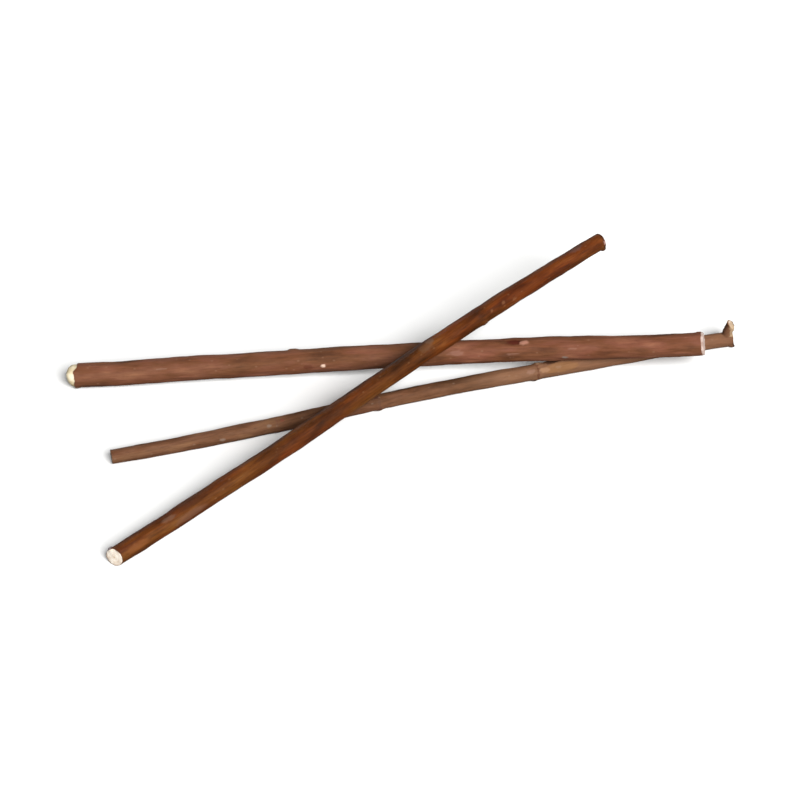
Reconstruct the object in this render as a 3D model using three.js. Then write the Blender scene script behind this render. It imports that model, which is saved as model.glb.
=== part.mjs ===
// A loose bundle of three cut twigs: a thick one and a thin one lie side by side and cross
// near one end, and a third lies over both. The thin twig keeps the stump of a side shoot.
// Millimetres, +Z up, the table at z = 0, the origin under the middle of the bundle.

import * as THREE from 'three';
import { mergeVertices } from 'three/addons/utils/BufferGeometryUtils.js';

const facets = 20; // sides of each twig
const ringSpacing = 7; // along a twig
const touchGap = 0.3; // left between pieces that rest on each other
const crush = 0.25; // how far the lying twig's bark is pressed flat along the table
const slantReach = 12; // how far back from an end its slanted cut bends the bark lines
const steepestTilt = THREE.MathUtils.degToRad(12);

// Each twig runs along its own +X from its butt, with +Y to its left and +Z up.
// butt: where that end stands over the table. heading: degrees from the bundle's +X.
// girth: [distance, diameter]. sway: [distance, drift to the left of a straight line].
// nodes: swollen rings where leaves grew. knots: bumps on one side, turn in degrees from the
// twig's left over its top. cuts: lean in degrees off square, towards the side at turn.
const thickTwig = {
  name: 'thick_twig',
  colour: 0x85563f,
  length: 351,
  butt: [-183, 12.7],
  heading: 2.3,
  girth: [[0, 13.3], [90, 13.4], [200, 13], [351, 13]],
  sway: [[0, 0], [45, 0.5], [95, 2.2], [155, 2.8], [225, 3.8], [290, 1.8], [351, 0]],
  nodes: [{ at: 125, swell: 0.15, reach: 5 }, { at: 248, swell: 0.2, reach: 8 }],
  knots: [
    { at: 4.6, turn: 231, height: 0.8, reach: 2.5 }, // bark frayed by the cut
    { at: 125, turn: 60, height: 0.7, reach: 4 },
    { at: 249, turn: 106, height: 0.8, reach: 6 } // callus beside a pruned shoot
  ],
  buttCut: { lean: 0, turn: 140 },
  tipCut: { lean: 15, turn: 140 },
  nose: { length: 4.4, point: 3, bark: 0.7 } // bare wood standing out of the butt's bark
};

const thinTwig = {
  name: 'thin_twig',
  colour: 0x7a5844,
  length: 354,
  butt: [-151.1, -51.7],
  heading: 16.7,
  girth: [[0, 8.1], [90, 8.3], [160, 8.6], [237, 8.8], [354, 8.5]],
  sway: [[0, 0], [25, 0.6], [60, 0], [110, 1.6], [155, 3.8], [205, 3.1], [232, 3.2], [290, 1.7], [354, 0]],
  nodes: [
    { at: 89, swell: 0.12, reach: 3 },
    { at: 146, swell: 0.3, reach: 4 },
    { at: 237, swell: 0.35, reach: 4 },
    { at: 350, swell: 0.15, reach: 4 }
  ],
  knots: [
    { at: 146, turn: 200, height: 0.5, reach: 4 },
    { at: 238, turn: 72, height: 0.6, reach: 3 },
    { at: 354, turn: 225, height: 1.2, reach: 2.5 } // frayed bark
  ],
  buttCut: { lean: 0, turn: 140 },
  tipCut: { lean: 18, turn: 139 },
  lies: true
};

const topTwig = {
  name: 'top_twig',
  colour: 0x7c4522,
  length: 344,
  butt: [-141.2, -127.3],
  heading: 41.6,
  girth: [[0, 9.9], [100, 10.1], [150, 10.4], [250, 10], [344, 9.9]],
  sway: [[0, 0], [35, 0.1], [75, -0.7], [120, 0.2], [180, 1.2], [245, 2.3], [290, 1.5], [344, 0]],
  nodes: [{ at: 213, swell: 0.15, reach: 5 }, { at: 251, swell: 0.15, reach: 4 }],
  knots: [
    { at: 0, turn: 50, height: 1, reach: 2.5 }, // frayed bark at both ends
    { at: 344, turn: 222, height: 1, reach: 2.5 },
    { at: 214, turn: 100, height: 0.5, reach: 4 },
    { at: 251, turn: 195, height: 0.8, reach: 4 }
  ],
  buttCut: { lean: 13, turn: 140 },
  tipCut: { lean: 0, turn: 140 }
};

// The broken side shoot stands on top of the thin twig, close to that twig's tip.
const sideShoot = {
  name: 'thin_twig_side_shoot',
  colour: 0x8a6a4c,
  at: 349.6,
  height: 7.6, // over the thin twig's bark
  lean: 2.2, // how far its top has moved towards the twig's tip
  footRadius: 2.6,
  topRadius: 2,
  jag: 0.8, // how uneven the broken top is
  facets: 14,
  rings: 4
};

// A smooth curve through [distance, value] pairs, as a function of distance.
function smoothCurve(pairs) {
  const distances = pairs.map(([distance]) => distance);
  const values = pairs.map(([, value]) => value);
  const curve = new THREE.CubicInterpolant(distances, values, 1);
  return (distance) => curve.evaluate(distance)[0];
}

// 1 at the middle of a bump, fading smoothly to 0 past its reach.
function bump(offset, reach) {
  return Math.exp(-((offset / reach) ** 2) * 2);
}

// Adds the curves of a twig's path and thickness to its dimensions.
function withCurves(twig) {
  const girth = smoothCurve(twig.girth);
  const swellings = (at) => twig.nodes.map((node) => node.swell * bump(at - node.at, node.reach));
  const radius = (at) => swellings(at).reduce((sum, swelling) => sum + swelling, girth(at) / 2);
  const rise = (at) => (twig.lies ? radius(at) - crush : 0);
  return { ...twig, radius, rise, sway: smoothCurve(twig.sway) };
}

// How far a knot lifts the bark at this distance and turn.
function knotHeight(twig, at, turn) {
  return twig.knots.reduce((sum, knot) => {
    const around = THREE.MathUtils.degToRad(knot.turn) - turn;
    const arc = Math.atan2(Math.sin(around), Math.cos(around)) * twig.radius(at);
    return sum + knot.height * bump(Math.hypot(at - knot.at, arc), knot.reach);
  }, 0);
}

// Distances of a twig's rings: evenly spaced, with one at each node and knot.
function ringDistances(twig) {
  const rings = twig.nose ? [twig.nose.point, twig.nose.length, twig.nose.length + 0.2] : [0];
  const first = rings[rings.length - 1];
  const steps = Math.round((twig.length - first) / ringSpacing);
  for (let i = 1; i <= steps; i++) {
    rings.push(THREE.MathUtils.lerp(first, twig.length, i / steps));
  }
  for (const { at } of [...twig.nodes, ...twig.knots]) {
    if (rings.every((distance) => Math.abs(distance - at) > 1)) {
      rings.push(at);
    }
  }
  return rings.sort((a, b) => a - b);
}

// How far a slanted cut moves the bark along the twig, at this turn.
function slant(cut, radius, turn) {
  const rise = Math.cos(turn - THREE.MathUtils.degToRad(cut.turn));
  return Math.tan(THREE.MathUtils.degToRad(cut.lean)) * radius * rise;
}

// A closed rod, bent along the twig's path, with its nodes, knots and slanted ends.
function twigGeometry(twig) {
  const rings = ringDistances(twig);
  const rod = new THREE.CylinderGeometry(1, 1, 1, facets, rings.length - 1);
  rod.deleteAttribute('normal');
  rod.deleteAttribute('uv');
  rod.rotateZ(-Math.PI / 2); // from +Y up to +X along, its butt at x = -0.5
  const geometry = mergeVertices(rod);
  const place = geometry.getAttribute('position');
  for (let i = 0; i < place.count; i++) {
    const ring = Math.round((place.getX(i) + 0.5) * (rings.length - 1));
    const across = Math.hypot(place.getY(i), place.getZ(i)); // 0 in the middle of an end, 1 on the bark
    const turn = Math.atan2(place.getZ(i), place.getY(i));
    const barkless = twig.nose && ring < 2 ? twig.nose.bark : 0;
    const at = rings[ring];
    const radius = (twig.radius(at) + knotHeight(twig, at, turn) - barkless) * across;
    const pointed = twig.nose && ring === 0 ? twig.nose.point * (1 - across) : 0;
    const nearButt = Math.max(0, 1 - at / slantReach);
    const nearTip = Math.max(0, 1 - (twig.length - at) / slantReach);
    const shift = nearButt * slant(twig.buttCut, radius, turn) - nearTip * slant(twig.tipCut, radius, turn);
    const height = twig.rise(at) + radius * Math.sin(turn);
    place.setXYZ(
      i,
      at + shift - pointed,
      twig.sway(at) + radius * Math.cos(turn),
      twig.lies ? Math.max(0, height) : height
    );
  }
  return geometry;
}

// The stump of the side shoot, its foot saddled over the thin twig's bark.
function sideShootGeometry(shoot, twig) {
  const stump = new THREE.CylinderGeometry(1, 1, 1, shoot.facets, shoot.rings);
  stump.deleteAttribute('normal');
  stump.deleteAttribute('uv');
  stump.rotateX(Math.PI / 2); // its foot at z = -0.5
  const geometry = mergeVertices(stump);
  const place = geometry.getAttribute('position');
  const saddle = twig.radius(shoot.at) + touchGap;
  for (let i = 0; i < place.count; i++) {
    const up = place.getZ(i) + 0.5;
    const radius = THREE.MathUtils.lerp(shoot.footRadius, shoot.topRadius, up);
    const along = place.getX(i) * radius;
    const aside = place.getY(i) * radius;
    const torn = shoot.jag * Math.sin(2.3 * along) * Math.cos(1.7 * aside);
    const foot = Math.sqrt(saddle ** 2 - aside ** 2);
    const top = saddle + shoot.height + torn;
    place.setXYZ(
      i,
      shoot.at + along + shoot.lean * up ** 2,
      twig.sway(shoot.at) + aside,
      twig.rise(shoot.at) + THREE.MathUtils.lerp(foot, top, up)
    );
  }
  return geometry;
}

function pieceMesh(name, colour, geometry) {
  geometry.computeVertexNormals();
  const material = new THREE.MeshStandardMaterial({ color: colour, roughness: 0.75, metalness: 0 });
  const mesh = new THREE.Mesh(geometry, material);
  mesh.name = name;
  return mesh;
}

// Stands a twig's group at its butt, tilted up towards its tip, its lowest point on the table.
function layDown(group, twig, tilt) {
  group.rotation.set(0, -tilt, THREE.MathUtils.degToRad(twig.heading), 'ZYX');
  group.position.set(...twig.butt, 0);
  group.position.z = -new THREE.Box3().setFromObject(group, true).min.z;
  group.updateMatrixWorld(true);
}

// Points of a twig's centre line in the bundle, each with the twig's radius there.
function centreLine(group, twig) {
  return Array.from({ length: twig.length / 2 }, (_, i) => {
    const at = 2 * i;
    const point = group.localToWorld(new THREE.Vector3(at, twig.sway(at), twig.rise(at)));
    return { point, radius: twig.radius(at) };
  });
}

// The smallest space between two twigs' bark.
function clearance(upper, lower) {
  const spaces = upper.flatMap((a) => lower.map((b) => a.point.distanceTo(b.point) - a.radius - b.radius));
  return Math.min(...spaces);
}

// Tilts a twig up until it just clears the one that it rests on.
function restOn(group, twig, support) {
  let low = 0;
  let high = steepestTilt;
  for (let i = 0; i < 24; i++) {
    const tilt = (low + high) / 2;
    layDown(group, twig, tilt);
    if (clearance(centreLine(group, twig), support) < touchGap) {
      low = tilt;
    } else {
      high = tilt;
    }
  }
  layDown(group, twig, high);
}

function twigGroup(twig) {
  const group = new THREE.Group();
  group.add(pieceMesh(twig.name, twig.colour, twigGeometry(twig)));
  return group;
}

const thick = withCurves(thickTwig);
const thin = withCurves(thinTwig);
const top = withCurves(topTwig);

const thinGroup = twigGroup(thin);
thinGroup.add(pieceMesh(sideShoot.name, sideShoot.colour, sideShootGeometry(sideShoot, thin)));
layDown(thinGroup, thin, 0);

const thickGroup = twigGroup(thick);
restOn(thickGroup, thick, centreLine(thinGroup, thin));

const topGroup = twigGroup(top);
restOn(topGroup, top, centreLine(thickGroup, thick));

const bundle = new THREE.Group();
bundle.add(thickGroup, thinGroup, topGroup);
const footprint = new THREE.Box3().setFromObject(bundle, true);
const middle = footprint.getCenter(new THREE.Vector3());
bundle.position.set(-middle.x, -middle.y, -footprint.min.z);
bundle.updateMatrixWorld(true);

export default bundle;
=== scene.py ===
import math

import bpy
import numpy as np
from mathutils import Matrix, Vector, noise


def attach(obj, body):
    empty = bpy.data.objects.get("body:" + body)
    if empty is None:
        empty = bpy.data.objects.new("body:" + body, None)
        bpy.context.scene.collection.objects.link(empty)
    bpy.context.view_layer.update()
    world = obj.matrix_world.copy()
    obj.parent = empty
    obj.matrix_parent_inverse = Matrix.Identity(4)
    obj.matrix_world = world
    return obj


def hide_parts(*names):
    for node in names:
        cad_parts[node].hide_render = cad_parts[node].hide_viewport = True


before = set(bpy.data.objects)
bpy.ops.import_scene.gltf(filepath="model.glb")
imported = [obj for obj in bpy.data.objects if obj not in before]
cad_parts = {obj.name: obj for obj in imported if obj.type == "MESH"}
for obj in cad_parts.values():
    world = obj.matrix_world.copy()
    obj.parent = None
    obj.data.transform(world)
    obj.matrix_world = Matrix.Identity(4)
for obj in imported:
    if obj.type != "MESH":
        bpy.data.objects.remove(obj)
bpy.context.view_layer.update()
mm = 0.001

# the camera stands in front of the bundle and looks down on it
outlook = {
    "above": 40,  # degrees over the table
    "away": 1.03,  # metres
    "lens": 85,
    "sensor": 36,
    "nearest": 0.01,  # metres
    "aim": (-3.0, 13.3, 0.0),  # mm, on the table
}


def addCamera(setting):
    above = math.radians(setting["above"])
    back = Vector((0, -math.cos(above), math.sin(above)))
    camera = bpy.data.objects.new("camera", bpy.data.cameras.new("camera"))
    camera.data.lens = setting["lens"]
    camera.data.sensor_width = setting["sensor"]
    camera.data.clip_start = setting["nearest"]
    camera.location = Vector(setting["aim"]) * mm + back * setting["away"]
    camera.rotation_euler = (math.radians(90) - above, 0, 0)
    bpy.context.scene.collection.objects.link(camera)
    bpy.context.scene.camera = camera


addCamera(outlook)
bpy.ops.object.select_all(action="DESELECT")
print("camera set, CAD nodes:", sorted(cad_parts))


def linear(code):
    # sRGB hex to the linear colour that a socket takes
    parts = [int(code[i : i + 2], 16) / 255 for i in (1, 3, 5)]
    return tuple(p / 12.92 if p <= 0.04045 else ((p + 0.055) / 1.055) ** 2.4 for p in parts) + (1.0,)


def add(tree, kind, links, stops=(), **settings):
    # adds a node: links fills its inputs from other nodes' outputs or from plain values, and
    # stops are the (place, colour) pairs of a colour ramp, in rising order
    node = tree.nodes.new(kind)
    for name, value in settings.items():
        setattr(node, name, value)
    for socket, source in links.items():
        if isinstance(source, bpy.types.NodeSocket):
            tree.links.new(source, node.inputs[socket])
        else:
            node.inputs[socket].default_value = source
    for i, (place, colour) in enumerate(stops):
        bands = node.color_ramp.elements
        band = bands[i] if i < len(bands) else bands.new(place)
        band.position = place
        band.color = linear(colour)
    return node


def newMaterial(name):
    material = bpy.data.materials.new(name)
    material.use_nodes = True
    material.node_tree.nodes.clear()
    return material, material.node_tree


def layPatterns(tree, straight, patterns):
    # adds each pattern, drawn out along the grain of the straight twig, and names what it gives
    outputs = {}
    for name, (kind, long, wide, settings) in patterns.items():
        steps = (1 / (long * mm), 1 / (wide * mm), 1 / (wide * mm))
        place = add(tree, "ShaderNodeMapping", {0: straight, "Scale": steps}).outputs[0]
        outputs[name] = add(tree, kind, {"Vector": place, "Scale": 1.0, **settings}).outputs[0]
    return outputs


def finishMaterial(tree, body, surface):
    # lays the painted marks over the body colour and joins up the shader
    mark = add(tree, "ShaderNodeAttribute", {}, attribute_name="markColour").outputs
    marked = add(tree, "ShaderNodeMix", {0: mark["Alpha"], 6: body, 7: mark["Color"]}, data_type="RGBA")
    shader = add(tree, "ShaderNodeBsdfPrincipled", {"Base Color": marked.outputs[2], **surface})
    add(tree, "ShaderNodeOutputMaterial", {0: shader.outputs[0]})


# each pattern's kind, mm along the grain, mm across it, and settings
cloudy = "ShaderNodeTexNoise"
spotted = "ShaderNodeTexVoronoi"
barkPatterns = {
    "blotches": (cloudy, 26, 7, {"Detail": 3, "Roughness": 0.55}),
    "casts": (cloudy, 60, 9, {"Detail": 2, "Roughness": 0.55}),
    "streaks": (cloudy, 14, 0.9, {"Detail": 4, "Roughness": 0.6}),
    # real hair cracks are finer than 0.1 mm, and these are drawn at 0.4 mm so that they show
    "cracks": (cloudy, 5, 0.4, {"Detail": 3, "Roughness": 0.7}),
    # pores are specks under 1 mm every 5 mm or so, drawn a little large so that they show
    "pores": (spotted, 6.5, 4.2, {"Randomness": 1.0}),
    "gloss": (cloudy, 9, 2.5, {"Detail": 3, "Roughness": 0.55}),
    "wrinkles": (cloudy, 9, 0.7, {"Detail": 4, "Roughness": 0.6}),
    "lumps": (cloudy, 12, 3.5, {"Detail": 2, "Roughness": 0.55}),
}
barkStops = {
    "streaks": [(0.3, "#4a4a4a"), (0.5, "#bcbcbc"), (0.72, "#ffffff")],
    "cracks": [(0.34, "#000000"), (0.46, "#ffffff")],
    "pores": [(0.08, "#7c7c7c"), (0.14, "#000000")],
}
castEdges = (0.38, 0.62)
glossRange = (0.3, 0.7)
barkRelief = {"depth": 0.4, "strength": 0.6, "crackShare": 0.8}  # depth in mm
barkIor = 1.45  # waxes and cork


# Smooth young bark, grown and air dried: a thin cork skin over green bark. It is matt to
# faintly waxy, blotched along the grain, with fine wrinkles and pale breathing pores.
def barkMaterial(name, look):
    material, tree = newMaterial(name)
    straight = add(tree, "ShaderNodeAttribute", {}, attribute_name="straight").outputs["Vector"]
    patterns = layPatterns(tree, straight, barkPatterns)
    stops = {**barkStops, "blotches": look["blotches"]}
    stops["casts"] = list(zip(castEdges, (look["redCast"], look["oliveCast"])))
    tones = {}
    for each, bands in stops.items():
        tones[each] = add(tree, "ShaderNodeValToRGB", {0: patterns[each]}, bands).outputs[0]
    layers = [
        ("SOFT_LIGHT", look["cast"], tones["casts"]),
        ("MULTIPLY", look["streak"], tones["streaks"]),
        ("MULTIPLY", look["crack"], tones["cracks"]),
        ("MIX", tones["pores"], linear(look["pore"])),
    ]
    body = tones["blotches"]
    for blend, share, layer in layers:
        links = {0: share, 6: body, 7: layer}
        body = add(tree, "ShaderNodeMix", links, data_type="RGBA", blend_type=blend).outputs[2]
    low, high = glossRange
    glossLinks = {0: patterns["gloss"], 1: low, 2: high, 3: look["smoothest"], 4: look["roughest"]}
    gloss = add(tree, "ShaderNodeMapRange", glossLinks).outputs[0]
    broadLinks = {0: patterns["wrinkles"], 1: patterns["lumps"]}
    broad = add(tree, "ShaderNodeMath", broadLinks, operation="ADD").outputs[0]
    heightLinks = {0: patterns["cracks"], 1: barkRelief["crackShare"], 2: broad}
    height = add(tree, "ShaderNodeMath", heightLinks, operation="MULTIPLY_ADD").outputs[0]
    bumpLinks = {"Height": height, "Distance": barkRelief["depth"] * mm, "Strength": barkRelief["strength"]}
    relief = add(tree, "ShaderNodeBump", bumpLinks).outputs[0]
    surface = {"Roughness": gloss, "Normal": relief, "IOR": barkIor, "Specular IOR Level": look["shine"]}
    finishMaterial(tree, body, surface)
    return material


woodPatterns = {
    "wobble": (cloudy, 6, 4, {"Detail": 3, "Roughness": 0.55}),
    "stain": (cloudy, 5, 3.2, {"Detail": 3, "Roughness": 0.55}),
    # real fibres are about 0.02 mm wide, and these are drawn at 0.35 mm so that they show
    "fibres": (cloudy, 1.2, 0.35, {"Detail": 3, "Roughness": 0.6}),
}
yearRing = 1.3  # mm wide
ringWobble = 1.6  # mm
pithReach = 1.1  # mm from the middle
stainShare = 0.8
fibreRelief = {"depth": 0.2, "strength": 0.5}  # depth in mm
woodFinish = {"Roughness": 0.78, "IOR": 1.5, "Specular IOR Level": 0.3}


# Bare sapwood, cut across with a blade: pale, matt, with faint year rings and a small pith.
def woodMaterial(name, look):
    material, tree = newMaterial(name)
    straight = add(tree, "ShaderNodeAttribute", {}, attribute_name="straight").outputs["Vector"]
    patterns = layPatterns(tree, straight, woodPatterns)
    flat = add(tree, "ShaderNodeVectorMath", {0: straight, 1: (0, 1, 1)}, operation="MULTIPLY").outputs[0]
    fromPith = add(tree, "ShaderNodeVectorMath", {0: flat}, operation="LENGTH").outputs["Value"]
    shiftLinks = {0: patterns["wobble"], 1: ringWobble * mm, 2: fromPith}
    shifted = add(tree, "ShaderNodeMath", shiftLinks, operation="MULTIPLY_ADD").outputs[0]
    turnLinks = {0: shifted, 1: 2 * math.pi / (yearRing * mm)}
    turns = add(tree, "ShaderNodeMath", turnLinks, operation="MULTIPLY").outputs[0]
    wave = add(tree, "ShaderNodeMath", {0: turns}, operation="SINE").outputs[0]
    rings = add(tree, "ShaderNodeValToRGB", {0: wave}, [(0, look["ring"]), (0.75, look["wood"])]).outputs[0]
    stainStops = [(0.35, look["stain"]), (0.6, "#ffffff")]
    stain = add(tree, "ShaderNodeValToRGB", {0: patterns["stain"]}, stainStops).outputs[0]
    links = {0: stainShare, 6: rings, 7: stain}
    body = add(tree, "ShaderNodeMix", links, data_type="RGBA", blend_type="MULTIPLY").outputs[2]
    edgeLinks = {0: fromPith, 1: 1 / (pithReach * mm)}
    edge = add(tree, "ShaderNodeMath", edgeLinks, operation="MULTIPLY").outputs[0]
    pithStops = [(0.35, "#ffffff"), (0.75, "#000000")]
    pith = add(tree, "ShaderNodeValToRGB", {0: edge}, pithStops).outputs[0]
    links = {0: pith, 6: body, 7: linear(look["pith"])}
    body = add(tree, "ShaderNodeMix", links, data_type="RGBA").outputs[2]
    depth, strength = fibreRelief["depth"] * mm, fibreRelief["strength"]
    bumpLinks = {"Height": patterns["fibres"], "Distance": depth, "Strength": strength}
    relief = add(tree, "ShaderNodeBump", bumpLinks).outputs[0]
    finishMaterial(tree, body, {"Normal": relief, **woodFinish})
    return material


def only(piece):
    bpy.ops.object.select_all(action="DESELECT")
    piece.select_set(True)
    bpy.context.view_layer.objects.active = piece


def corners(piece):
    flat = np.empty(len(piece.data.vertices) * 3)
    piece.data.vertices.foreach_get("co", flat)
    return flat.reshape(-1, 3)


def fromMiddle(piece):
    # how far each corner is from the straight twig's middle line
    return np.hypot(*corners(piece)[:, 1:].T)


def pick(piece, kind, chosen):
    # goes to edit mode with just these corners, edges or faces selected
    only(piece)
    bpy.ops.object.mode_set(mode="EDIT")
    bpy.context.tool_settings.mesh_select_mode = [kind == each for each in ("vertices", "edges", "polygons")]
    bpy.ops.mesh.select_all(action="DESELECT")
    bpy.ops.object.mode_set(mode="OBJECT")
    getattr(piece.data, kind).foreach_set("select", chosen)
    bpy.ops.object.mode_set(mode="EDIT")


def paintPicked(piece, slot):
    piece.active_material_index = slot
    bpy.ops.object.material_slot_assign()


# how a twig's course is read from its CAD node
courseReading = {
    "slices": 30,
    "slab": 4.5,  # mm either side of a slice
    "margin": 0.03,  # share of the length left out at each end
    "sidewaysBends": 6,  # degrees of the curves that smooth what is read
    "upwardBends": 3,
    "taper": 2,
}


# The course of a twig: slices across its CAD node give its middle and its thickness.
def readCourse(nodeName):
    reading = courseReading
    points = np.array([corner.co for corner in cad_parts[nodeName].data.vertices])
    middle = points.mean(axis=0)
    along = np.linalg.svd(points - middle, full_matrices=False)[2][0]
    along = along * np.sign(along[0])
    left = np.cross((0, 0, 1), along)
    left = left / np.linalg.norm(left)
    up = np.cross(along, left)
    distance = (points - middle) @ along
    start, length = distance.min(), np.ptp(distance)
    rows = []
    for share in np.linspace(reading["margin"], 1 - reading["margin"], reading["slices"]):
        slab = points[abs(distance - start - share * length) < reading["slab"] * mm] - middle
        sideways, upwards = slab @ left, slab @ up
        centre = (sideways.max() + sideways.min()) / 2, (upwards.max() + upwards.min()) / 2
        rows.append((share, *centre, (np.ptp(sideways) + np.ptp(upwards)) / 2))
    share, sideways, upwards, thickness = np.array(rows).T
    aside = np.polyfit(share, sideways, reading["sidewaysBends"])
    rise = np.polyfit(share, upwards, reading["upwardBends"])
    taper = np.polyfit(share, thickness, reading["taper"])

    def place(at):
        offset = left * np.polyval(aside, at) + up * np.polyval(rise, at)
        return middle + along * (start + at * length) + offset, np.polyval(taper, at)

    return {"length": length, "place": place, "thickness": float(np.median(thickness))}


def sawEnd(piece, end, side):
    # side is -1 at the butt and 1 at the tip; the blade leans towards the side at turn
    lean, turn = math.radians(end["lean"]), math.radians(end["turn"])
    outward = (side * math.cos(lean), math.sin(lean) * math.cos(turn), math.sin(lean) * math.sin(turn))
    only(piece)
    bpy.ops.object.mode_set(mode="EDIT")
    bpy.ops.mesh.select_all(action="SELECT")
    bpy.ops.mesh.bisect(plane_co=(end["at"] * mm, 0, 0), plane_no=outward, use_fill=True, clear_outer=True)
    paintPicked(piece, end["rim"])
    bpy.ops.mesh.inset(thickness=end["bark"] * mm)
    paintPicked(piece, end["wood"])
    ridge = math.radians(end["turn"] - 90)
    axes = ((1, 0, 0), (0, math.cos(ridge), math.sin(ridge)), (0, -math.sin(ridge), math.cos(ridge)))
    for out, across, along in end["nose"]:
        bpy.ops.mesh.extrude_region_move(TRANSFORM_OT_translate={"value": (side * out * mm, 0, 0)})
        bpy.ops.transform.resize(value=(1, across, along), orient_matrix=axes, orient_matrix_type="GLOBAL")
    for ring in end["rings"]:
        bpy.ops.mesh.inset(thickness=ring * mm)
    bpy.ops.mesh.poke()
    bpy.ops.object.mode_set(mode="OBJECT")


# a corner further out than this share of the radius counts as bark, for each job
barkFrom = {"rim": 0.97, "rough": 0.93, "stainsAndPaintedLight": 0.9, "bumps": 0.8}


def nearness(piece, at, long, turn, wide, radius):
    # 0 at the middle of a mark, 1 at its edge, for every corner
    place = corners(piece)
    along = (place[:, 0] / mm - at) / (long / 2)
    if turn is None:
        return abs(along)
    around = np.arctan2(place[:, 2], place[:, 1]) - math.radians(turn)
    arc = np.arctan2(np.sin(around), np.cos(around)) * radius / mm
    return np.hypot(along, arc / (wide / 2))


peelBlend = 2.5  # mm


def peelBark(piece, end, side, radius):
    # the blade took some of the bark off behind the cut, so its edge runs back there
    for turn, wide, back in end["peeled"]:
        onRim = fromMiddle(piece) > barkFrom["rim"] * radius
        pick(piece, "vertices", onRim & (nearness(piece, end["at"], 1, turn, wide, radius) < 1))
        bpy.ops.transform.translate(
            value=(-side * back * mm, 0, 0),
            use_proportional_edit=True,
            proportional_edit_falloff="SMOOTH",
            use_proportional_connected=True,
            proportional_size=peelBlend * mm,
        )
        bpy.ops.object.mode_set(mode="OBJECT")


def cutLengthwise(piece, longest, cuts):
    # cuts every edge that runs along the twig for more than longest mm
    ends = np.array([edge.vertices[:] for edge in piece.data.edges])
    run = np.ptp(corners(piece)[ends][:, :, 0], axis=1)
    pick(piece, "edges", run > longest * mm)
    bpy.ops.mesh.subdivide(number_cuts=cuts)
    bpy.ops.object.mode_set(mode="OBJECT")


def raiseBark(piece, bumps, radius):
    # lifts a ring or an oval of bark, or sinks it, and blends it into the bark around it
    for at, long, turn, wide, lift, fade in bumps:
        onBark = fromMiddle(piece) > barkFrom["bumps"] * radius
        pick(piece, "vertices", (nearness(piece, at, long, turn, wide, radius) < 1) & onBark)
        bpy.ops.transform.shrink_fatten(
            value=lift * mm,
            use_proportional_edit=True,
            proportional_edit_falloff="SMOOTH",
            proportional_size=fade * mm,
        )
        bpy.ops.object.mode_set(mode="OBJECT")


def keepStraight(piece):
    # the patterns follow the grown twig, so its unbent shape is kept for them
    kept = piece.data.attributes.new("straight", "FLOAT_VECTOR", "POINT")
    kept.data.foreach_set("vector", corners(piece).ravel())


# a mark, whether stain, painted highlight or painted shade, is gone at outer times its size, and fades over
# the share of it in soft; its edge wanders by the share in ragged, less on a mark longer than steady mm.
# wave is how often it wanders in a mm, along the twig and across it.
markEdge = {"ragged": 0.45, "steady": 8, "outer": 1.35, "soft": 0.7, "wave": (0.5, 1.1, 1.1)}
markReach = 2.5  # times a mark's size, past which nothing is coloured


def paintStainsAndLight(piece, stainsAndPaintedLight, radius):
    # colours spots and rings of the bark, each with a soft, ragged edge: mostly the bark's own stains, with
    # some painted highlights and painted shade on the thin twig
    edge = markEdge
    colours = np.zeros((len(piece.data.vertices), 4))
    place = corners(piece)
    onBark = fromMiddle(piece) >= barkFrom["stainsAndPaintedLight"] * radius
    for at, long, turn, wide, colour, most in stainsAndPaintedLight:
        near = nearness(piece, at, long, turn, wide, radius)
        ragged = edge["ragged"] * min(1, edge["steady"] / long)
        for corner in np.flatnonzero((near < markReach) & onBark):
            spot = Vector(place[corner] / mm * edge["wave"])
            soft = (edge["outer"] - near[corner] - ragged * noise.noise(spot)) / edge["soft"]
            soft = min(1.0, max(0.0, soft))
            strength = most * soft * soft * (3 - 2 * soft)
            if strength >= colours[corner, 3]:
                colours[corner] = (*linear(colour)[:3], strength)
    painted = piece.data.attributes.new("markColour", "FLOAT_COLOR", "POINT")
    painted.data.foreach_set("color", colours.ravel())


def nameGroup(piece, name, chosen):
    group = piece.vertex_groups.new(name=name)
    group.add([int(corner) for corner in np.flatnonzero(chosen)], 1.0, "REPLACE")


def roughen(piece, name, group, long, wide, strength, direction):
    # a Displace modifier with a cloud pattern drawn out along the twig
    steps = bpy.data.objects.new(name, None)
    steps.scale = (long * mm, wide * mm, wide * mm)
    bpy.context.scene.collection.objects.link(steps)
    clouds = bpy.data.textures.new(name, "CLOUDS")
    clouds.noise_scale = 1.0
    clouds.noise_depth = 2
    only(piece)
    layer = piece.modifiers.new(name, "DISPLACE")
    layer.texture = clouds
    layer.texture_coords = "OBJECT"
    layer.texture_coords_object = steps
    layer.vertex_group = group
    layer.direction = direction
    layer.strength = strength * mm
    bpy.context.view_layer.update()
    bpy.ops.object.modifier_apply(modifier=name)
    bpy.data.objects.remove(steps)


# the curve that a twig is bent along, smooth and with enough points to follow every kink
guideCurve = {"points": 40, "order": 4, "steps": 12}


def bendAlong(piece, course):
    # lays the straight piece along the CAD twig's middle, with its taper
    curve = bpy.data.curves.new(piece.name + "_course", "CURVE")
    curve.dimensions = "3D"
    curve.twist_mode = "Z_UP"
    curve.resolution_u = guideCurve["steps"]
    spline = curve.splines.new("NURBS")
    last = guideCurve["points"] - 1
    spline.points.add(last)
    spline.order_u = guideCurve["order"]
    spline.use_endpoint_u = True
    for i, point in enumerate(spline.points):
        place, thickness = course["place"](i / last)
        point.co = (*place, 1)
        point.radius = thickness / course["thickness"]
    guide = bpy.data.objects.new(curve.name, curve)
    bpy.context.scene.collection.objects.link(guide)
    only(piece)
    bend = piece.modifiers.new("bend", "CURVE")
    bend.object = guide
    bend.deform_axis = "POS_X"
    bpy.ops.object.modifier_apply(modifier="bend")
    bpy.data.objects.remove(guide)


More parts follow.
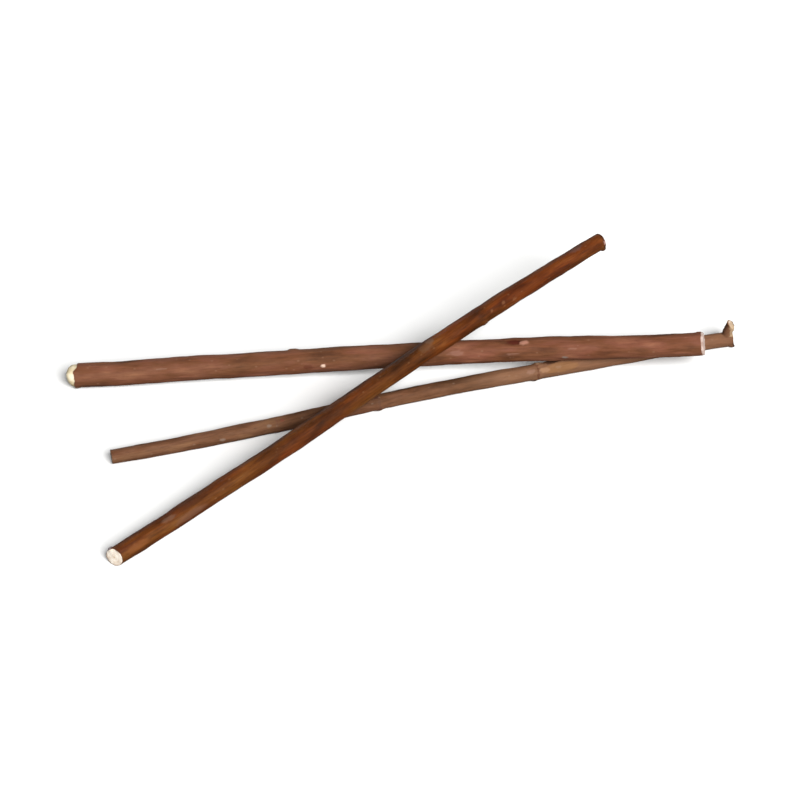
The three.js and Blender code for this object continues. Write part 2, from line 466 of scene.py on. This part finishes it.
def settle(piece):
    # whatever reaches under the table is pressed flat on it
    pick(piece, "vertices", corners(piece)[:, 2] < 0)
    bpy.ops.transform.resize(value=(1, 1, 0), center_override=(0, 0, 0))
    bpy.ops.object.mode_set(mode="OBJECT")


# what every twig's surface shares: mm along, mm across
roughening = {"lumps": (34, 9), "wrinkles": (13, 1.6), "bladeMarks": (2.4, 1.6), "fray": (9, 2.2)}
bladeDepth = 0.5  # mm
frayReach = 2.5  # mm behind the butt's cut
spare = 20  # mm of cylinder that the saw takes off
smoothUnder = 40  # degrees between faces
# two rounds of (cut edges longer than so many mm, cuts) leave rings about half a mm apart
lengthwiseCuts = [(100, 24), (6, 24)]


def makeTwig(twig, addShoot=None):
    course = readCourse(twig["node"])
    length, radius = course["length"] / mm, course["thickness"] / 2
    bpy.ops.mesh.primitive_cylinder_add(
        vertices=twig["facets"],
        radius=radius,
        depth=(length + spare) * mm,
        location=(length / 2 * mm, 0, 0),
        rotation=(0, math.radians(90), 0),
    )
    piece = bpy.context.object
    piece.name = twig["name"]
    bpy.ops.object.transform_apply(location=True, rotation=True, scale=True)
    for material in twig["materials"]:
        piece.data.materials.append(material)
    butt = twig["butt"]
    tip = {**twig["tip"], "at": length - twig["tip"]["short"]}
    sawEnd(piece, butt, -1)
    sawEnd(piece, tip, 1)
    for longest, cuts in lengthwiseCuts:
        cutLengthwise(piece, longest, cuts)
    peelBark(piece, butt, -1, radius)
    peelBark(piece, tip, 1, radius)
    if addShoot:
        addShoot(piece, radius)
    keepStraight(piece)
    # a place below 0 is counted back from the tip's cut
    bumps = [(at if at > 0 else tip["at"] + at, *rest) for at, *rest in twig["bumps"]]
    stainsAndPaintedLight = [(at if at > 0 else tip["at"] + at, *rest) for at, *rest in twig["stainsAndPaintedLight"]]
    paintStainsAndLight(piece, stainsAndPaintedLight, radius)
    onBark = fromMiddle(piece) > barkFrom["rough"] * radius
    nameGroup(piece, "bark", onBark)
    nameGroup(piece, "cuts", ~onBark)
    nameGroup(piece, "edge", onBark & (corners(piece)[:, 0] < (butt["at"] + frayReach) * mm))
    raiseBark(piece, bumps, radius)
    roughen(piece, "lumps", "bark", *roughening["lumps"], twig["lumps"], "NORMAL")
    roughen(piece, "wrinkles", "bark", *roughening["wrinkles"], twig["wrinkles"], "NORMAL")
    roughen(piece, "bladeMarks", "cuts", *roughening["bladeMarks"], bladeDepth, "X")
    roughen(piece, "fray", "edge", *roughening["fray"], twig["fray"], "X")
    bendAlong(piece, course)
    settle(piece)
    only(piece)
    bpy.ops.object.shade_smooth_by_angle(angle=math.radians(smoothUnder))
    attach(piece, "root")
    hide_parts(*twig["replaces"])
    print(piece.name, "done,", len(piece.data.polygons), "faces")


# Inner bark, bared by the blade: a thin tan ring that dries darker than the wood inside it.
innerBark = woodMaterial(
    "cutInnerBark",
    {"wood": "#8a6238", "ring": "#6d4a2a", "stain": "#a58a6a", "pith": "#6d4a2a"},
)

# Thick twig: pinkish brown bark, cut back from a blunt nose of bare wood at its butt.
pinkishBark = barkMaterial(
    "pinkishYoungBark",
    {
        "blotches": [(0.3, "#573520"), (0.45, "#70472e"), (0.58, "#7a4e3a"), (0.72, "#895d45")],
        "redCast": "#8c5c50",
        "oliveCast": "#747048",
        "cast": 0.35,
        "streak": 0.25,
        "crack": 0.22,
        "pore": "#8c6a54",
        "smoothest": 0.6,
        "roughest": 0.8,
        "shine": 0.18,
    },
)
# Sapwood cut back with a knife: cream and matt, with almost no rings to see.
creamWood = woodMaterial(
    "creamSapwood",
    {"wood": "#dbd0b8", "ring": "#cfc2a4", "stain": "#d6cab0", "pith": "#b8986c"},
)
# Sapwood sawn across and left to dry: a dull pinkish white round a brown pith.
pinkWood = woodMaterial(
    "driedPinkishSapwood",
    {"wood": "#bfaea6", "ring": "#b09c92", "stain": "#c4b4ac", "pith": "#8a6a55"},
)

# Lengths are in mm, and a place is counted from the butt, or back from the tip's cut if below
# 0. Turns are in degrees round the twig: 0 is its left as seen from the butt, 90 its top, and
# 140 about faces the camera.
# An end's rim and wood are material slots, peeled has (turn, width, how far back), and a nose
# grows in steps of (out, share of its width kept across its ridge, and along it).
# bumps: (place, length, turn or None for a ring, width, lift, blend)
# stains: (place, length, turn or None for a ring, width, colour, strength); most are the bark's own stains,
# but a few on the thin twig are painted highlights and painted shade
thickTwig = {
    "name": "thick_twig_grown",
    "node": "thick_twig",
    "replaces": ["thick_twig"],
    "slot": "pinkish_bark",
    "materials": [pinkishBark, creamWood, pinkWood],
    "facets": 72,
    "lumps": 0.9,
    "wrinkles": 0.65,
    "fray": 1.2,
    "butt": {
        "at": 5.1,
        "bark": 0.6,
        "rim": 1,
        "wood": 1,
        "lean": 0,
        "turn": 140,
        "nose": [(1.3, 0.98, 0.99), (1.2, 0.9, 0.96), (1.0, 0.8, 0.92), (0.7, 0.68, 0.88), (0.3, 0.6, 0.8)],
        "rings": [0.4, 0.5],
        "peeled": [(74, 7, 1.8), (160, 2.5, 0.5)],
    },
    "tip": {
        "short": 2.9,
        "bark": 0.2,
        "rim": 2,
        "wood": 2,
        "lean": 16,
        "turn": 140,
        "nose": [(0.5, 1, 1), (0.5, 0.98, 0.98)],
        "rings": [0.2, 1.2, 1.4, 1.4],
        "peeled": [],
    },
    "bumps": [
        (125, 2, None, 0, 0.1, 5),
        (248, 6, None, 0, 0.12, 8),
        (6, 1.8, 231, 2.4, 0.6, 1.6),  # burr under the cut
        (125, 3, 60, 2, 0.5, 2.5),
        (246, 8, 98, 3.6, -0.35, 1.6),  # hollow scar, and the lip it healed with
        (251.5, 5, 107, 2.4, 0.45, 1.8),
        (141, 2.4, 170, 1.6, 0.12, 1.2),
        (-1.5, 2, 52, 2, 0.3, 1.5),
    ],
    "stainsAndPaintedLight": [
        (6, 1.8, 231, 2.4, "#7c736a", 0.8),
        (125, 3, 60, 2, "#4a3026", 0.6),
        (246, 8, 98, 3.6, "#48180c", 0.9),
        (251.5, 5, 107, 2.4, "#9a6c5a", 0.85),
        (141, 2.4, 170, 1.6, "#cdb09c", 1.0),  # pale bud scar
        (132.8, 5, 172, 2.6, "#4e2414", 0.6),
        (52.8, 6, 135, 0.9, "#8a6856", 0.4),
        (214, 8, 145, 3, "#7e584a", 0.6),
        (245, 7, 161, 0.9, "#8c6858", 0.35),
        (278, 5, 144, 0.8, "#8c6a5a", 0.35),
        (274, 3.4, 192, 2, "#7a6e66", 0.8),
        (-1.5, 2, 52, 2, "#2e1a12", 0.7),
    ],
}
makeTwig(thickTwig)

# Thin twig: greyish brown, ringed where leaves grew, its last year's shoot a warmer tan.
greyBrownBark = barkMaterial(
    "greyBrownYoungBark",
    {
        "blotches": [(0.3, "#4f311d"), (0.45, "#67432b"), (0.58, "#734e37"), (0.72, "#805b40")],
        "redCast": "#805a52",
        "oliveCast": "#706a4a",
        "cast": 0.35,
        "streak": 0.32,
        "crack": 0.3,
        "pore": "#84705f",
        "smoothest": 0.62,
        "roughest": 0.82,
        "shine": 0.18,
    },
)
# Sapwood that has weathered since it was cut: greyish, with its rings and pith showing dark.
greyWood = woodMaterial(
    "weatheredSapwood",
    {"wood": "#cfc2b2", "ring": "#b4a18c", "stain": "#bfaea0", "pith": "#8a6a55"},
)
thinTwig = {
    "name": "thin_twig_grown",
    "node": "thin_twig",
    "replaces": ["thin_twig", "thin_twig_side_shoot"],
    "slot": "grey_brown_bark",
    "materials": [greyBrownBark, innerBark, greyWood],
    "facets": 56,
    "lumps": 0.7,
    "wrinkles": 0.55,
    "fray": 0.6,
    "butt": {
        "at": 0.3,
        "bark": 0.4,
        "rim": 1,
        "wood": 2,
        "lean": 0,
        "turn": 140,
        "nose": [],
        "rings": [0.3, 1.0, 1.0],
        "peeled": [],
    },
    "tip": {
        "short": 1.7,
        "bark": 0.5,
        "rim": 1,
        "wood": 2,
        "lean": 18,
        "turn": 139,
        "nose": [],
        "rings": [0.3, 1.0, 1.0],
        "peeled": [],
    },
    "bumps": [
        (89, 1.2, None, 0, 0.1, 2.4),  # rings where leaves grew
        (146, 1.6, None, 0, 0.25, 3.2),
        (237, 1.4, None, 0, 0.3, 3.4),
        (146, 3, 200, 2.4, 0.4, 2.4),
        (238.5, 3.4, 72, 3, 0.5, 2),
        (235, 2.4, 208, 2, 0.4, 1.6),
        # a lump on top, just where the thin twig passes under the thick one
        (247, 9, 80, 4, 0.5, 3),
        (-1.2, 1.8, 228, 2, 0.8, 1.4),
        (-3, 5, 90, 6, 0.2, 2.5),
    ],
    "stainsAndPaintedLight": [
        (89, 1.2, None, 0, "#5a3a2c", 0.35),
        (146, 1.6, None, 0, "#4a3024", 0.4),
        (237, 1.4, None, 0, "#5c3826", 0.45),
        (146, 3, 200, 2.4, "#3c241a", 0.6),
        (145, 2.4, 100, 3, "#3c2016", 0.7),
        (238.5, 3.4, 72, 3, "#94765c", 0.8),
        (235, 2.4, 208, 2, "#38241a", 0.7),
        (275, 150, None, 0, "#7c5a42", 0.4),  # the last year's shoot
        # a tan strip along the side towards the camera: the new shoot's warmer tan, with a painted highlight
        # where it faces the light
        (250, 24, 140, 6, "#86603e", 0.55),
        # dark on that lump: painted shade, where the thick twig's shadow falls on the thin one
        (247, 9, 80, 4, "#332014", 0.85),
        (233, 5, 133, 3, "#8c6a58", 0.5),
        # two pale spots past the ring, on the side towards the camera: painted highlights
        (241.5, 6.5, 137, 3.2, "#906c50", 0.7),
        (249, 4, 133, 2.2, "#8c6a4e", 0.6),
        (59, 3, 169, 1.4, "#7c6a5e", 0.6),
        (84.5, 2.6, 136, 1.6, "#7e6c60", 0.6),
        (92, 2, 116, 1.6, "#6c3428", 0.6),
        (-1.2, 1.8, 228, 2, "#2c1c14", 0.85),
        (-0.6, 1.8, None, 0, "#2c1a10", 0.75),
        (-1.2, 5, 106, 4.2, "#9c8468", 0.78),
    ],
}

# The stump of the thin twig's side shoot, snapped off with a slanting, fibrous break.
sideShoot = {
    "at": 349.4,
    "foot": 2.9,  # mm, radius at the fork
    "top": 2.35,
    "height": 12.0,  # mm over the twig's middle, before the break
    "breakHeight": 10.2,
    "breakFacing": (0.5, -0.35, 0.8),  # up, and a little towards the tip and the front
    "splinters": 0.9,
    "bark": 0.3,
    "rings": [0.5, 0.5],
    "facets": 28,
    "longest": 5,  # mm, and longer edges get this many cuts
    "cuts": 18,
    "leanSteps": 5,
    "leanStep": (0.4, 1.1),  # mm towards the tip, and mm of height from one step to the next
    "fork": 3.6,  # mm round the foot that are smoothed
    "forkLow": 0.6,  # from this share of the twig's radius
    "forkHigh": 1.4,  # to this many mm over its bark
    "smoothing": {"factor": 0.5, "repeat": 8},
}


def addSideShoot(piece, radius):
    shoot = sideShoot
    bpy.ops.mesh.primitive_cone_add(
        vertices=shoot["facets"],
        radius1=shoot["foot"] * mm,
        radius2=shoot["top"] * mm,
        depth=shoot["height"] * mm,
        location=(shoot["at"] * mm, 0, shoot["height"] / 2 * mm),
    )
    stump = bpy.context.object
    bpy.ops.object.transform_apply(location=True, rotation=True, scale=True)
    for material in piece.data.materials:
        stump.data.materials.append(material)
    bpy.ops.object.mode_set(mode="EDIT")
    bpy.ops.mesh.select_all(action="SELECT")
    breakPoint = (shoot["at"] * mm, 0, shoot["breakHeight"] * mm)
    bpy.ops.mesh.bisect(plane_co=breakPoint, plane_no=shoot["breakFacing"], use_fill=True, clear_outer=True)
    paintPicked(stump, 1)
    bpy.ops.mesh.inset(thickness=shoot["bark"] * mm)
    paintPicked(stump, 2)
    for ring in shoot["rings"]:
        bpy.ops.mesh.inset(thickness=ring * mm)
    bpy.ops.mesh.poke()
    bpy.ops.transform.vertex_random(offset=shoot["splinters"] * mm, seed=4)
    bpy.ops.object.mode_set(mode="OBJECT")
    ends = np.array([edge.vertices[:] for edge in stump.data.edges])
    rise = np.ptp(corners(stump)[ends][:, :, 2], axis=1)
    pick(stump, "edges", rise > shoot["longest"] * mm)
    bpy.ops.mesh.subdivide(number_cuts=shoot["cuts"])
    bpy.ops.object.mode_set(mode="OBJECT")
    forward, rung = shoot["leanStep"]
    for step in range(1, shoot["leanSteps"] + 1):
        pick(stump, "vertices", corners(stump)[:, 2] > radius + step * rung * mm)
        bpy.ops.transform.translate(value=(forward * mm, 0, 0))
        bpy.ops.object.mode_set(mode="OBJECT")
    only(piece)
    join = piece.modifiers.new("fork", "BOOLEAN")
    join.operation = "UNION"
    join.object = stump
    bpy.ops.object.modifier_apply(modifier="fork")
    bpy.data.objects.remove(stump)
    place = corners(piece)
    fromFork = np.hypot(place[:, 0] - shoot["at"] * mm, place[:, 1])
    low, high = radius * shoot["forkLow"], radius + shoot["forkHigh"] * mm
    overTwig = (place[:, 2] > low) & (place[:, 2] < high)
    pick(piece, "vertices", (fromFork < shoot["fork"] * mm) & overTwig)
    bpy.ops.mesh.vertices_smooth(**shoot["smoothing"])
    bpy.ops.object.mode_set(mode="OBJECT")
    print("side shoot joined to", piece.name)


makeTwig(thinTwig, addSideShoot)

# Top twig: red brown bark with a faint sheen, its butt cut clean and turned to the camera.
redBrownBark = barkMaterial(
    "redBrownWaxyBark",
    {
        "blotches": [(0.3, "#3f1f05"), (0.45, "#60320b"), (0.58, "#6e3d11"), (0.72, "#7f4f22")],
        "redCast": "#96503a",
        "oliveCast": "#66682f",
        "cast": 0.5,
        "streak": 0.45,
        "crack": 0.35,
        "pore": "#7c5a3c",
        "smoothest": 0.48,
        "roughest": 0.7,
        "shine": 0.12,
    },
)
# Sapwood cut clean not long ago: nearly white, its rings and pith only just darker.
whiteWood = woodMaterial(
    "paleFreshSapwood",
    {"wood": "#f0e8dc", "ring": "#e9dccb", "stain": "#e8ded6", "pith": "#d0b89c"},
)
topTwig = {
    "name": "top_twig_grown",
    "node": "top_twig",
    "replaces": ["top_twig"],
    "slot": "red_brown_bark",
    "materials": [redBrownBark, innerBark, whiteWood],
    "facets": 64,
    "lumps": 0.8,
    "wrinkles": 0.55,
    "fray": 0.6,
    "butt": {
        "at": 2.1,
        "bark": 0.3,
        "rim": 1,
        "wood": 2,
        "lean": 22,
        "turn": 140,
        "nose": [],
        "rings": [0.3, 1.1, 1.2, 1.0],
        "peeled": [],
    },
    "tip": {
        "short": 0.3,
        "bark": 0.6,
        "rim": 1,
        "wood": 2,
        "lean": 0,
        "turn": 140,
        "nose": [],
        "rings": [0.3, 1.1, 1.2, 1.0],
        "peeled": [],
    },
    "bumps": [
        (213, 3, None, 0, 0.1, 4),
        (251, 2, None, 0, 0.12, 4),
        (2.5, 1.6, 50, 2.4, 0.6, 1.0),  # lip over the cut
        (214, 5, 92, 3, 0.35, 2.5),
        (251, 3, 195, 2.4, 0.6, 2.2),
        (-1.2, 2, 222, 2.4, 0.8, 1.2),
    ],
    "stainsAndPaintedLight": [
        (2.5, 1.6, 50, 2.4, "#7a7476", 0.85),
        (52, 26, 85, 6, "#33180a", 0.6),
        (46, 18, 165, 4, "#6e4c3a", 0.4),
        (14, 12, 150, 4, "#70401e", 0.5),
        (214, 5, 92, 3, "#5e4c40", 0.45),
        (210, 9, 108, 4, "#58402e", 0.4),
        (251, 3, 195, 2.4, "#5a3a24", 0.5),
        (326, 8, 85, 4, "#5e443c", 0.45),
        (35, 8, 112, 2.4, "#6a5040", 0.4),
        (257, 1.8, 144, 1.6, "#7c5236", 0.4),
        (266, 2.4, 140, 1.6, "#7c5236", 0.4),
        (274, 3, 161, 1.4, "#7c5236", 0.4),
        (-1.2, 2, 222, 2.4, "#33241a", 0.8),
        (-0.4, 2, None, 0, "#2c1608", 0.6),
        (-0.6, 1.6, 160, 3.4, "#8c7068", 0.9),
    ],
}
makeTwig(topTwig)

# A plain pale table top, a soft key light beside the camera and a weak one behind.
studio = {
    "floorSize": 40.0,
    "floorColour": "#efefee",
    "bounceColour": "#8c8c8b",
    "worldColour": "#ffffff",
    "worldStrength": 0.16,
    "lights": [
        {"name": "keyLight", "towards": (0.42, -0.72, 0.66), "away": 6.0, "size": 4.2, "power": 790},
        {"name": "backLight", "towards": (-0.3, 0.9, 0.36), "away": 6.0, "size": 3.0, "power": 90},
    ],
}


def addStudio(setting):
    bpy.ops.mesh.primitive_plane_add(size=setting["floorSize"])
    floor = bpy.context.object
    floor.name = "table_top"
    material, tree = newMaterial("matPaintedTable")
    # matt paint, rolled on: even and without gloss. It is pale to look at, but throws little
    # light back up under the twigs, so their undersides stay dark.
    seen = add(tree, "ShaderNodeBsdfDiffuse", {"Color": linear(setting["floorColour"])}).outputs[0]
    thrown = add(tree, "ShaderNodeBsdfDiffuse", {"Color": linear(setting["bounceColour"])}).outputs[0]
    looking = add(tree, "ShaderNodeLightPath", {}).outputs["Is Camera Ray"]
    paint = add(tree, "ShaderNodeMixShader", {0: looking, 1: thrown, 2: seen}).outputs[0]
    add(tree, "ShaderNodeOutputMaterial", {0: paint})
    floor.data.materials.append(material)
    for light in setting["lights"]:
        lamp = bpy.data.objects.new(light["name"], bpy.data.lights.new(light["name"], "AREA"))
        lamp.data.shape = "DISK"
        lamp.data.size = light["size"]
        lamp.data.energy = light["power"]
        towards = Vector(light["towards"]).normalized()
        lamp.location = towards * light["away"]
        lamp.rotation_euler = towards.to_track_quat("Z", "Y").to_euler()
        bpy.context.scene.collection.objects.link(lamp)
    world = bpy.data.worlds.new("studio")
    world.use_nodes = True
    bpy.context.scene.world = world
    sky = world.node_tree.nodes["Background"]
    sky.inputs[0].default_value = linear(setting["worldColour"])
    sky.inputs[1].default_value = setting["worldStrength"]
    bpy.context.scene.view_settings.view_transform = "Standard"


addStudio(studio)
print("studio lit")
